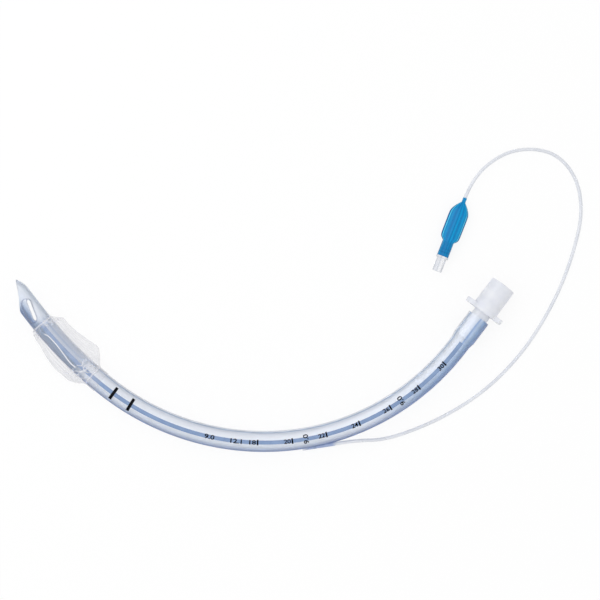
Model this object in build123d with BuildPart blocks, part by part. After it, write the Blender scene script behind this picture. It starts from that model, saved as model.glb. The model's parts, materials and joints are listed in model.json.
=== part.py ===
from build123d import *
from math import asin, copysign, cos, degrees, pi, radians, sin, tan
import os

# Cuffed endotracheal tube, 9.0 mm bore, lying flat as it comes to rest.
# Millimetres, +Z up. The tube's curve lies in a plane that leans a degree off the table,
# because the low point of the curve and the connector's wider flange both touch it.

# Airway tube
TUBE_OD = 12.1
TUBE_ID = 9.0
MACHINE_RADIUS = 140.0
MACHINE_SWEEP = 53.1
MACHINE_RUN = 19.5
PATIENT_RADIUS = 147.0
PATIENT_SWEEP = 39.3
CUFF_RADIUS = 248.0
CUFF_SWEEP = 13.0
PATIENT_RUN = 14.4
LOW_POINT_Y = -43.9

# Hooked tip, bevel and side eyes
HOOK_RADIUS = 9.0
HOOK_SWEEP = 48.0
BEVEL_ANGLE = 37.7
BEVEL_SETBACK = 0.6
BEVEL_FLAT = 5.5
BEVEL_CURVE = 38.0
HOOK_REACH_ANGLE = 37.5
EYE_LENGTH = 14.4
EYE_WIDTH = 5.4
EYE_TURN = 9.0
EYE_SLANT = 15.0
EYE_FROM_HOOK = 11.2

# Inflation channel in the outer wall of the curve
CHANNEL_D = 0.8
CHANNEL_WALL = 0.35
PORT_D = 2.0

# Radiopaque stripe, ink marks
STRIPE_WIDTH = 2.3
STRIPE_DEPTH = 0.5
INK = 0.06
INK_LIFT = 0.01
FIRST_MARK = 177.5
LAST_MARK = 297.5
MARK_STEP = 20.0
MARK_LENGTH = 3.2
MARK_WIDTH = 0.9
BAR_LENGTH = 8.4
BAR_WIDTH = 1.8
BAR_FROM_TIP = (88.6, 100.4)

# Cuff
CUFF_FILM = 0.3
CUFF_TOP = 6.85
CUFF_DISTAL_COLLAR = 3.6
CUFF_PROXIMAL_COLLAR = 6.0
CUFF_POINT_COUNT = 32
CUFF_FOLD_COUNT = 10
CUFF_FOLD_DEPTH = 0.035
WING_THINNING = 0.55
# Distance from the tip, then the reach of the film on the inner and outer side of the curve
CUFF_STATIONS = (
    (30.4, 6.6, 6.6),
    (33.0, 9.2, 8.2),
    (36.0, 11.6, 9.0),
    (42.0, 11.3, 10.2),
    (50.0, 12.4, 11.8),
    (59.5, 13.9, 12.4),
    (64.5, 14.3, 11.3),
    (69.0, 10.6, 9.4),
    (72.9, 6.6, 6.6),
)

# Connector
CONE_LEAD_D = 15.0
CONE_TAPER = 1 / 40
CONE_LENGTH = 17.0
CONE_WALL = 1.25
CONE_FLOOR = 3.4
FLANGE_D = 15.6
FLANGE_THICKNESS = 2.8
WING_SPAN = 24.4
WING_WIDTH = 8.6
WING_CORNER = 3.4
NECK = 3.8
STEM_D = 10.5
STEM_BORE = 8.7
STEM_LENGTH = 14.0
PUSH_FIT = 0.02
FLARE_WALL = 1.5
FLARE_LEAD = 3.6
RIM_ROUND = 0.5

# Inflation line and the bonded end that lies in the tube wall
LINE_D = 2.0
LINE_BORE = 1.0
BOND_D = 2.3
BOND_LENGTH = 19.0
BOND_START = 202.5
BOND_PROUD = 0.9
LINE_CLEAR = 0.05
LINE_EXIT_RUN = 13.0

# Pilot balloon: distance from the neck's end, half width and half thickness
PILOT_NECK = (116.2, 97.0)
PILOT_HEADING = -111.2
BALLOON_WALL = 0.45
BALLOON_POINT_COUNT = 24
BALLOON_FOLD_COUNT = 6
BALLOON_FOLD_DEPTH = 0.03
NECK_LENGTH = 2.6
NECK_D = 2.3
SHOULDER_STEP = 0.1
BALLOON_STATIONS = (
    (5.2, 2.9, 2.1),
    (9.3, 5.4, 3.1),
    (16.0, 5.65, 3.35),
    (23.4, 5.55, 3.3),
)
SLEEVE_START = 27.1
SLEEVE_LENGTH = 9.1
SLEEVE_D = 6.7

# Valve
VALVE_D = 5.5
VALVE_INSET = 7.6
VALVE_FLANGE_D = 7.2
VALVE_FLANGE = 1.2
VALVE_EXPOSED = 8.0
LUER_MOUTH_D = 4.3
LUER_TAPER = 0.06
LUER_DEPTH = 6.5
SEAT_THICKNESS = 1.9
CHAMBER_D = 4.0
GUIDE_D = 1.9
POPPET_STEM_D = 1.5
POPPET_HEAD_D = 3.4
POPPET_HEAD = 1.0
POPPET_TRAVEL = 1.2
SEAL_D = 3.0
SEAL_THICKNESS = 0.6
SEAT_GAP = 0.03
SPRING_D = 2.8
SPRING_WIRE = 0.3
SPRING_TURN_COUNT = 5
RETAINER_THICKNESS = 1.2
RETAINER_HOLE_D = 1.5

tube_r = TUBE_OD / 2
flange_r = FLANGE_D / 2
cone_root_d = CONE_LEAD_D + CONE_LENGTH * CONE_TAPER

# The lean of the curve's plane sets the flange and the low point on the table together
flange_middle = NECK + FLANGE_THICKNESS / 2
machine_angle = radians(MACHINE_SWEEP)
flange_rise = MACHINE_RADIUS * (1 - cos(machine_angle))
flange_rise += (MACHINE_RUN + flange_middle) * sin(machine_angle)
lean = asin((flange_r - tube_r) / flange_rise)
low_point = (0, LOW_POINT_Y, tube_r * cos(lean))
lay = Plane(origin=low_point, x_dir=(1, 0, 0), z_dir=(0, -sin(lean), cos(lean)))

with BuildLine(lay) as centreline:
    patient_arc = JernArc((0, 0), (-1, 0), PATIENT_RADIUS, -PATIENT_SWEEP)
    cuff_arc = JernArc(patient_arc @ 1, patient_arc % 1, CUFF_RADIUS, -CUFF_SWEEP)
    patient_run = PolarLine(cuff_arc @ 1, PATIENT_RUN, direction=cuff_arc % 1)
    hook_arc = JernArc(patient_run @ 1, patient_run % 1, HOOK_RADIUS, HOOK_SWEEP)
    machine_arc = JernArc((0, 0), (1, 0), MACHINE_RADIUS, MACHINE_SWEEP)
    machine_run = PolarLine(machine_arc @ 1, MACHINE_RUN, direction=machine_arc % 1)

# The wire runs from the machine end to the tip
route = centreline.wire()
machine_length = machine_arc.length + machine_run.length
hook_start = machine_length + patient_arc.length + cuff_arc.length + patient_run.length
tip_reach = hook_start + radians(HOOK_REACH_ANGLE) * (HOOK_RADIUS + tube_r)


def station(from_tip):
    """Plane across the tube: x up, y to the inner side of the curve, z to the patient."""
    share = (tip_reach - from_tip) / route.length
    return Plane(origin=route @ share, x_dir=lay.z_dir, z_dir=route % share)


def stretch(near, far):
    """Centreline between two distances from the tip, running towards the patient."""
    return route.trim((tip_reach - far) / route.length, (tip_reach - near) / route.length)


def sector(inner, outer, width):
    """Ring sector about local x, as wide as given along the tube's surface."""
    half = degrees(width / 2 / tube_r)
    with BuildLine() as outline:
        near = CenterArc((0, 0), inner, -half, 2 * half)
        far = CenterArc((0, 0), outer, -half, 2 * half)
        Line(near @ 0, far @ 0)
        Line(near @ 1, far @ 1)
    make_face(outline.edges())


def film_face(plane, count, inner, outer, top, folds, depth):
    """Face of slack film: a lens with one wing each side and lengthwise folds."""
    points = []
    for index in range(count):
        turn = 2 * pi * index / count
        reach = inner if cos(turn) > 0 else outer
        power = 1 + WING_THINNING * max(0, 1 - top / reach)
        ripple = 1 + depth * (1 + cos(folds * turn))
        across = copysign(abs(cos(turn)) ** power, cos(turn))
        upward = copysign(abs(sin(turn)) ** power, sin(turn))
        points.append((top * upward * ripple, reach * across))
    with BuildSketch(plane) as section:
        with BuildLine():
            Spline(*points, periodic=True)
        make_face()
    return section.sketch.face()


# Mouth of the tube: x out along the axis to the machine, y across, z up
mouth = Plane(origin=route @ 0, x_dir=-(route % 0), z_dir=lay.z_dir)
mouth_axis = Axis(mouth.origin, mouth.x_dir)
flare_start = STEM_LENGTH + FLARE_LEAD
flare_bore = STEM_D / 2 + PUSH_FIT

# Airway tube
bevel_dir = (patient_run % 1).rotate(Axis((0, 0, 0), lay.z_dir), -BEVEL_ANGLE)
bevel = Plane(origin=patient_run @ 1, x_dir=bevel_dir, z_dir=lay.z_dir)
bond_plane = station(BOND_START)
bond_centre = tube_r + BOND_PROUD - BOND_D / 2
channel_centre = TUBE_ID / 2 + CHANNEL_WALL + CHANNEL_D / 2
cuff_middle = (CUFF_STATIONS[0][0] + CUFF_STATIONS[-1][0]) / 2

with BuildPart() as airway_tube:
    with BuildSketch(station(tip_reach - flare_start)):
        Circle(tube_r)
        Circle(TUBE_ID / 2, mode=Mode.SUBTRACT)
    sweep(path=route.trim(flare_start / route.length, 1))
    with BuildSketch(mouth):
        with BuildLine():
            Polyline(
                (-flare_start, TUBE_ID / 2),
                (-STEM_LENGTH, flare_bore),
                (0, flare_bore),
                (0, flare_bore + FLARE_WALL),
                (-STEM_LENGTH, flare_bore + FLARE_WALL),
                (-flare_start, tube_r),
                close=True,
            )
        make_face()
    revolve(axis=mouth_axis)
    # Bevel that curls over the end of the lumen
    with BuildSketch(bevel):
        with BuildLine():
            flat = Line((-2 * TUBE_OD, -BEVEL_SETBACK), (-BEVEL_FLAT, -BEVEL_SETBACK))
            curl = JernArc(flat @ 1, flat % 1, BEVEL_CURVE, degrees(1.5 * TUBE_OD / BEVEL_CURVE))
            beyond = Vector(0, 2 * TUBE_OD)
            Polyline(curl @ 1, (curl @ 1) + beyond, (flat @ 0) + beyond, flat @ 0)
        make_face()
    extrude(amount=TUBE_OD, both=True, mode=Mode.SUBTRACT)
    # Side eyes, through both walls
    eye = station(tip_reach - hook_start + EYE_FROM_HOOK)
    eye_up = eye.x_dir.rotate(Axis((0, 0, 0), eye.z_dir), -EYE_TURN)
    with BuildSketch(Plane(origin=eye.origin, x_dir=eye.z_dir, z_dir=eye_up)):
        SlotOverall(EYE_LENGTH, EYE_WIDTH, rotation=-EYE_SLANT)
    extrude(amount=TUBE_OD, both=True, mode=Mode.SUBTRACT)
    # Groove for the stripe
    with BuildSketch(station(tip_reach - flare_start)):
        sector(tube_r - STRIPE_DEPTH, tube_r + STRIPE_DEPTH, STRIPE_WIDTH)
    sweep(path=stretch(CUFF_STATIONS[0][0], tip_reach - flare_start), mode=Mode.SUBTRACT)
    # Inflation channel, its port under the cuff, and the notch for the bonded line
    with BuildSketch(station(tip_reach - flare_start)):
        with Locations((0, -channel_centre)):
            Circle(CHANNEL_D / 2)
    sweep(path=stretch(cuff_middle, tip_reach - flare_start), mode=Mode.SUBTRACT)
    port = station(cuff_middle)
    with BuildSketch(Plane(origin=port.origin - port.y_dir * channel_centre, z_dir=-port.y_dir)):
        Circle(PORT_D / 2)
    extrude(amount=tube_r, mode=Mode.SUBTRACT)
    with BuildSketch(bond_plane):
        with Locations((0, -bond_centre)):
            Circle(BOND_D / 2)
    extrude(amount=-BOND_LENGTH, mode=Mode.SUBTRACT)
airway_tube.part.label = "airway_tube"

# Radiopaque stripe, let into the wall from the cuff to the flare
with BuildPart() as stripe:
    with BuildSketch(station(tip_reach - flare_start)):
        sector(tube_r - STRIPE_DEPTH, tube_r, STRIPE_WIDTH)
    sweep(path=stretch(CUFF_STATIONS[0][0], tip_reach - flare_start))
stripe.part.label = "stripe"

# Depth marks every 20 mm, counted from where the tip ends before it is curled, and two bars
ink_r = tube_r + INK_LIFT
mark_total = round((LAST_MARK - FIRST_MARK) / MARK_STEP) + 1
printed = [(FIRST_MARK + MARK_STEP * index, MARK_WIDTH, MARK_LENGTH) for index in range(mark_total)]
printed += [(bar, BAR_WIDTH, BAR_LENGTH) for bar in BAR_FROM_TIP]
with BuildPart() as depth_marks:
    for from_tip, width, length in printed:
        with BuildSketch(station(from_tip + width / 2)):
            sector(ink_r, ink_r + INK, length)
        sweep(path=stretch(from_tip - width / 2, from_tip + width / 2))
depth_marks.part.label = "depth_marks"

# Cuff: slack film gathered in two wings, with a sleeve bonded to the tube at each end
cuff_start = CUFF_STATIONS[0][0]
cuff_end = CUFF_STATIONS[-1][0]
film_r = tube_r + CUFF_FILM
cuff_sections = []
for from_tip, inner, outer in reversed(CUFF_STATIONS):
    slack = min(1, (inner + outer) / 2 / film_r - 1)
    top = film_r + (CUFF_TOP - film_r) * slack
    depth = CUFF_FOLD_DEPTH * slack
    section = film_face(station(from_tip), CUFF_POINT_COUNT, inner, outer, top, CUFF_FOLD_COUNT, depth)
    cuff_sections.append(section)
collar_near = cuff_start - CUFF_DISTAL_COLLAR
collar_far = cuff_end + CUFF_PROXIMAL_COLLAR
with BuildPart() as cuff:
    loft(cuff_sections)
    for near, far in ((collar_near, cuff_start), (cuff_end, collar_far)):
        with BuildSketch(station(far)):
            Circle(film_r)
        sweep(path=stretch(near, far))
    with BuildSketch(station(collar_far + 1)):
        Circle(tube_r)
    sweep(path=stretch(collar_near - 1, collar_far + 1), mode=Mode.SUBTRACT)
cuff.part.label = "cuff"

# Connector: conical socket end, oval flange with two wings, and the stem inside the tube
cone_start = NECK + FLANGE_THICKNESS
cone_end = cone_start + CONE_LENGTH
cone_bore = CONE_LEAD_D / 2 - CONE_WALL
flange_face = Plane(origin=mouth.origin + mouth.x_dir * NECK, x_dir=mouth.y_dir, z_dir=mouth.x_dir)
with BuildPart() as connector:
    with BuildSketch(mouth):
        with BuildLine():
            Polyline(
                (PUSH_FIT - STEM_LENGTH, STEM_BORE / 2),
                (PUSH_FIT - STEM_LENGTH, STEM_D / 2),
                (NECK, STEM_D / 2),
                (NECK, flange_r),
                (cone_start, flange_r),
                (cone_start, cone_root_d / 2),
                (cone_end, CONE_LEAD_D / 2),
                (cone_end, cone_bore),
                (cone_start + CONE_FLOOR, cone_bore),
                (cone_start, STEM_BORE / 2),
                close=True,
            )
        make_face()
    revolve(axis=mouth_axis)
    rim = connector.edges().filter_by(GeomType.CIRCLE).sort_by(mouth_axis)[-2:]
    fillet(rim, RIM_ROUND)
    with BuildSketch(flange_face):
        RectangleRounded(WING_SPAN, WING_WIDTH, WING_CORNER)
        Circle(flange_r - PUSH_FIT, mode=Mode.SUBTRACT)
    extrude(amount=FLANGE_THICKNESS)
connector.part.label = "connector"

# Bonded end of the inflation line, lying in its notch and leaving along the tangent
with BuildPart() as line_bond:
    with BuildSketch(bond_plane):
        with Locations((0, -bond_centre)):
            Circle(BOND_D / 2)
    extrude(amount=-BOND_LENGTH)
line_bond.part.label = "line_bond"

# Pilot frame: x along the balloon to the valve's mouth, z up, resting on the valve's flange
pilot_height = VALVE_FLANGE_D / 2
heading = Vector(cos(radians(PILOT_HEADING)), sin(radians(PILOT_HEADING)), 0)
pilot = Plane(origin=(*PILOT_NECK, pilot_height), x_dir=heading, z_dir=(0, 0, 1))
pilot_axis = Axis(pilot.origin, heading)


def across_pilot(distance):
    """Plane across the pilot assembly: x up, y to the side, z to the valve's mouth."""
    return Plane(origin=pilot.origin + heading * distance, x_dir=(0, 0, 1), z_dir=heading)


# Inflation line: straight out of the bond, down to the table, round and up into the balloon
exit_point = bond_plane.origin - bond_plane.y_dir * bond_centre - bond_plane.z_dir * BOND_LENGTH
exit_run = -bond_plane.z_dir * LINE_EXIT_RUN
line_z = LINE_D / 2 + LINE_CLEAR
LINE_POINTS = (
    (68.0, -43.4, 2.6),
    (86.0, -38.0, 1.1),
    (106.0, -29.0, line_z),
    (127.0, -15.6, line_z),
    (145.5, 2.2, line_z),
    (160.0, 22.2, line_z),
    (172.0, 45.0, line_z),
    (180.0, 67.5, line_z),
    (184.6, 88.5, line_z),
    (181.8, 108.0, line_z),
    (170.5, 122.4, line_z),
    (154.0, 126.4, line_z + 0.2),
    (137.0, 122.6, line_z + 0.9),
)
neck_run = heading * LINE_EXIT_RUN
line_corners = [Vector(*point) for point in LINE_POINTS]
line_route = [exit_point, exit_point + exit_run, *line_corners, pilot.origin - neck_run, pilot.origin]
line_radii = []
for before, corner, after in zip(line_route, line_route[1:], line_route[2:]):
    turn = (corner - before).get_angle(after - corner)
    shorter = min((corner - before).length, (after - corner).length)
    line_radii.append(0.45 * shorter / tan(radians(turn) / 2))
print("line radii", [round(radius, 1) for radius in line_radii])

with BuildPart() as inflation_line:
    with BuildLine() as line_path:
        FilletPolyline(*line_route, radius=line_radii)
    with BuildSketch(Plane(origin=line_path.wire() @ 0, z_dir=line_path.wire() % 0)):
        Circle(LINE_D / 2)
        Circle(LINE_BORE / 2, mode=Mode.SUBTRACT)
    sweep()
inflation_line.part.label = "inflation_line"
line_length = line_path.wire().length
line_area = pi * (LINE_D**2 - LINE_BORE**2) / 4
volume_share = inflation_line.part.volume / line_area / line_length
print("line length", round(line_length, 1), "volume share", round(volume_share, 4))

# Pilot balloon: a flattened hollow bulb between a narrow neck and the valve sleeve
sleeve_r = SLEEVE_D / 2
neck_r = NECK_D / 2
valve_r = VALVE_D / 2
sleeve_end = SLEEVE_START + SLEEVE_LENGTH


def balloon_sections(wall):
    """Faces across the bulb from neck to sleeve, drawn inwards by a wall."""
    neck_end = neck_r - SHOULDER_STEP
    sleeve_edge = valve_r + PUSH_FIT + BALLOON_WALL - SHOULDER_STEP
    ends = ((NECK_LENGTH, neck_end, neck_end), (SLEEVE_START, sleeve_edge, sleeve_edge))
    sections = []
    for distance, half_width, half_height in (ends[0], *BALLOON_STATIONS, ends[1]):
        width = half_width - wall
        top = half_height - wall
        depth = BALLOON_FOLD_DEPTH * min(1, half_width / half_height - 1)
        plane = across_pilot(distance)
        sections.append(film_face(plane, BALLOON_POINT_COUNT, width, width, top, BALLOON_FOLD_COUNT, depth))
    return sections


with BuildPart() as pilot_balloon:
    loft(balloon_sections(0))
    with BuildSketch(across_pilot(0)):
        Circle(neck_r)
    extrude(amount=NECK_LENGTH)
    with BuildSketch(across_pilot(SLEEVE_START)):
        Circle(sleeve_r)
    extrude(amount=SLEEVE_LENGTH)
    loft(balloon_sections(BALLOON_WALL), mode=Mode.SUBTRACT)
    with BuildSketch(across_pilot(0)):
        Circle(LINE_BORE / 2)
    extrude(amount=NECK_LENGTH + BALLOON_WALL, mode=Mode.SUBTRACT)
    with BuildSketch(across_pilot(sleeve_end)):
        Circle(valve_r + PUSH_FIT)
    extrude(amount=-SLEEVE_LENGTH, mode=Mode.SUBTRACT)
pilot_balloon.part.label = "pilot_balloon"

# Valve body: syringe socket, seat wall and spring chamber in one clear moulding
valve_start = sleeve_end - VALVE_INSET
flange_end = sleeve_end + VALVE_FLANGE
valve_mouth = flange_end + VALVE_EXPOSED
luer_floor = valve_mouth - LUER_DEPTH
chamber_end = luer_floor - SEAT_THICKNESS
luer_mouth_r = LUER_MOUTH_D / 2
luer_floor_r = luer_mouth_r - LUER_DEPTH * LUER_TAPER / 2
with BuildPart() as valve_body:
    with BuildSketch(pilot):
        with BuildLine():
            Polyline(
                (valve_start, CHAMBER_D / 2),
                (valve_start, valve_r),
                (sleeve_end, valve_r),
                (sleeve_end, VALVE_FLANGE_D / 2),
                (flange_end, VALVE_FLANGE_D / 2),
                (flange_end, valve_r),
                (valve_mouth, valve_r),
                (valve_mouth, luer_mouth_r),
                (luer_floor, luer_floor_r),
                (luer_floor, GUIDE_D / 2),
                (chamber_end, GUIDE_D / 2),
                (chamber_end, CHAMBER_D / 2),
                close=True,
            )
        make_face()
    revolve(axis=pilot_axis)
valve_body.part.label = "valve_body"

# Poppet and its rubber seal
seal_face = chamber_end - SEAT_GAP
head_face = seal_face - SEAL_THICKNESS
head_back = head_face - POPPET_HEAD
with BuildPart() as valve_poppet:
    with BuildSketch(across_pilot(head_back)):
        Circle(POPPET_HEAD_D / 2)
    extrude(amount=POPPET_HEAD)
    with BuildSketch(across_pilot(head_face)):
        Circle(POPPET_STEM_D / 2)
    extrude(amount=luer_floor - head_face - SEAT_GAP)
valve_poppet.part.label = "valve_poppet"

with BuildPart() as valve_seal:
    with BuildSketch(across_pilot(head_face)):
        Circle(SEAL_D / 2)
        Circle(POPPET_STEM_D / 2, mode=Mode.SUBTRACT)
    extrude(amount=SEAL_THICKNESS)
valve_seal.part.label = "valve_seal"

# Retainer pressed into the chamber's end, and the spring that stands on it
retainer_top = valve_start + RETAINER_THICKNESS
with BuildPart() as valve_retainer:
    with BuildSketch(across_pilot(valve_start)):
        Circle(CHAMBER_D / 2 - PUSH_FIT)
        Circle(RETAINER_HOLE_D / 2, mode=Mode.SUBTRACT)
    extrude(amount=RETAINER_THICKNESS)
valve_retainer.part.label = "valve_retainer"

spring_height = head_back - retainer_top - SPRING_WIRE - 2 * SEAT_GAP
spring_base = pilot.origin + heading * (retainer_top + SPRING_WIRE / 2 + SEAT_GAP)
spring_r = (SPRING_D - SPRING_WIRE) / 2
with BuildPart() as valve_spring:
    with BuildLine() as coil:
        pitch = spring_height / SPRING_TURN_COUNT
        Helix(pitch, spring_height, spring_r, center=spring_base, direction=heading)
    with BuildSketch(Plane(origin=coil.line @ 0, z_dir=coil.line % 0)):
        Circle(SPRING_WIRE / 2)
    sweep(is_frenet=True)
valve_spring.part.label = "valve_spring"

os.makedirs("parts", exist_ok=True)
pieces = (
    airway_tube, stripe, depth_marks, cuff, connector, line_bond, inflation_line,
    pilot_balloon, valve_body, valve_poppet, valve_seal, valve_retainer, valve_spring,
)
for piece in pieces:
    export_step(piece.part, f"parts/{piece.part.label}.step")
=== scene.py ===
"""Looks of a cuffed endotracheal tube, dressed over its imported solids.

Lengths in the classes are in millimetres, as on the maker's drawing. Blender works in metres.
A place on a tube is a distance along its axis and a number of turns round it. On the airway tube
the distance starts at the patient tip, and the turns are 0 at the top, 0.25 on the inner side of
the curve and 0.75 on the outer side.
"""

import json
import logging
import math
from collections.abc import Callable, Iterator, Sequence
from contextlib import contextmanager
from dataclasses import dataclass
from enum import Enum
from functools import cached_property
from typing import Any

import bmesh
import bpy
import numpy as np
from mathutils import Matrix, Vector, noise

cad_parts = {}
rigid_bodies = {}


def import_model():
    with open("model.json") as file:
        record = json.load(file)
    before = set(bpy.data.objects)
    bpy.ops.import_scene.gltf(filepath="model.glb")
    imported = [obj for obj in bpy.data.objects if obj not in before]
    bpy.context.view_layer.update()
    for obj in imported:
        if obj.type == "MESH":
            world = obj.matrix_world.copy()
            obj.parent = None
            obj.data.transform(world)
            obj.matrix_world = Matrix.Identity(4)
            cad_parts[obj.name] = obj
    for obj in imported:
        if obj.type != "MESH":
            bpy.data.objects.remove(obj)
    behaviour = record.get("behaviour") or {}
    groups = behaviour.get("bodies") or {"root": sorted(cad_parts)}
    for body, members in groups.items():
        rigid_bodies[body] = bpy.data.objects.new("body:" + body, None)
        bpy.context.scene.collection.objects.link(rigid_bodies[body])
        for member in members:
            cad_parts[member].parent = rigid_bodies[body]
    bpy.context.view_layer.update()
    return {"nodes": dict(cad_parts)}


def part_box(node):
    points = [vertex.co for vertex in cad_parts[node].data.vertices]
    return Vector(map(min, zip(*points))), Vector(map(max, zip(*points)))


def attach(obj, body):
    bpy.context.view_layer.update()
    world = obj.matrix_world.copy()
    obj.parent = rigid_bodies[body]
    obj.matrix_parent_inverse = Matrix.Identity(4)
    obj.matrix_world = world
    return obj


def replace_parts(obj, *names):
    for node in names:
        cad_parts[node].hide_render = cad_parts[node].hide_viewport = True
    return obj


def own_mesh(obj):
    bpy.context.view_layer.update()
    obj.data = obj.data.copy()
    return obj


log = logging.getLogger("tube")

MM = 0.001
FULL_TURN = 2 * math.pi
UP = Vector((0, 0, 1))

Material = bpy.types.Material
Mesh = bpy.types.Mesh
Node = bpy.types.Node
Socket = bpy.types.NodeSocket
Thing = bpy.types.Object
Tree = bpy.types.NodeTree
Stops = Sequence[tuple[float, str]]


class Body(Enum):
    """Moving bodies of the part."""

    AIRWAY = "airway"
    PLUNGER = "plunger"


class Slot(Enum):
    """Material slots of the part's record."""

    TUBE = "tube"
    STRIPE = "stripe"
    INK = "ink"
    FILM = "film"
    CONNECTOR = "connector"
    LINE = "line"
    BALLOON = "balloon"
    VALVE = "valve_clear"
    POPPET = "poppet"
    SEAL = "seal"
    SPRING = "spring"


def linear(code: str) -> tuple[float, float, float, float]:
    """Turn an sRGB hex colour to Blender's linear colour.

    Args:
        code: Colour such as "#DDE3F0".

    Returns:
        Linear red, green, blue and an alpha of 1.
    """
    parts = [int(code[i : i + 2], 16) / 255 for i in (1, 3, 5)]
    red, green, blue = (p / 12.92 if p <= 0.04045 else ((p + 0.055) / 1.055) ** 2.4 for p in parts)
    return (red, green, blue, 1.0)


def plug(tree: Tree, socket: Socket, value: Any) -> None:
    """Give an input a link when the value is a socket, and a fixed value otherwise.

    Args:
        tree: Node tree of the input.
        socket: The input.
        value: Output socket or fixed value.
    """
    if isinstance(value, Socket):
        tree.links.new(value, socket)
    else:
        socket.default_value = value


def add_node(tree: Tree, kind: str, sockets: dict[Any, Any] | None = None, **settings: Any) -> Node:
    """Add one node with its settings, values and links.

    Args:
        tree: Node tree that gets the node.
        kind: Blender's name for the node's type.
        sockets: Input name or number to a value, or to an output socket to link.
        **settings: Properties of the node itself.

    Returns:
        The new node.
    """
    node = tree.nodes.new(kind)
    for key, value in settings.items():
        setattr(node, key, value)
    for key, value in (sockets or {}).items():
        plug(tree, node.inputs[key], value)
    return node


def calc(tree: Tree, operation: str, *values: Any, clamp: bool = False) -> Socket:
    """Add one sum of numbers and give its result."""
    return add_node(tree, "ShaderNodeMath", dict(enumerate(values)), operation=operation, use_clamp=clamp).outputs[0]


def seen_ray(tree: Tree) -> Socket:
    """Add a factor that is 1 for rays of the camera, of reflections and through clear walls.

    Args:
        tree: Node tree that gets the nodes.

    Returns:
        The factor.
    """
    path = add_node(tree, "ShaderNodeLightPath").outputs
    direct = calc(tree, "MAXIMUM", path["Is Camera Ray"], path["Is Glossy Ray"])
    return calc(tree, "MAXIMUM", direct, path["Is Transmission Ray"])


def smooth(low: float, high: float, value: float) -> float:
    """Rise smoothly from 0 at low to 1 at high.

    Args:
        low: Value that gives 0.
        high: Value that gives 1.
        value: Value to read at.

    Returns:
        Share from 0 to 1.
    """
    share = min(1.0, max(0.0, (value - low) / (high - low)))
    return share * share * (3 - 2 * share)


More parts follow.
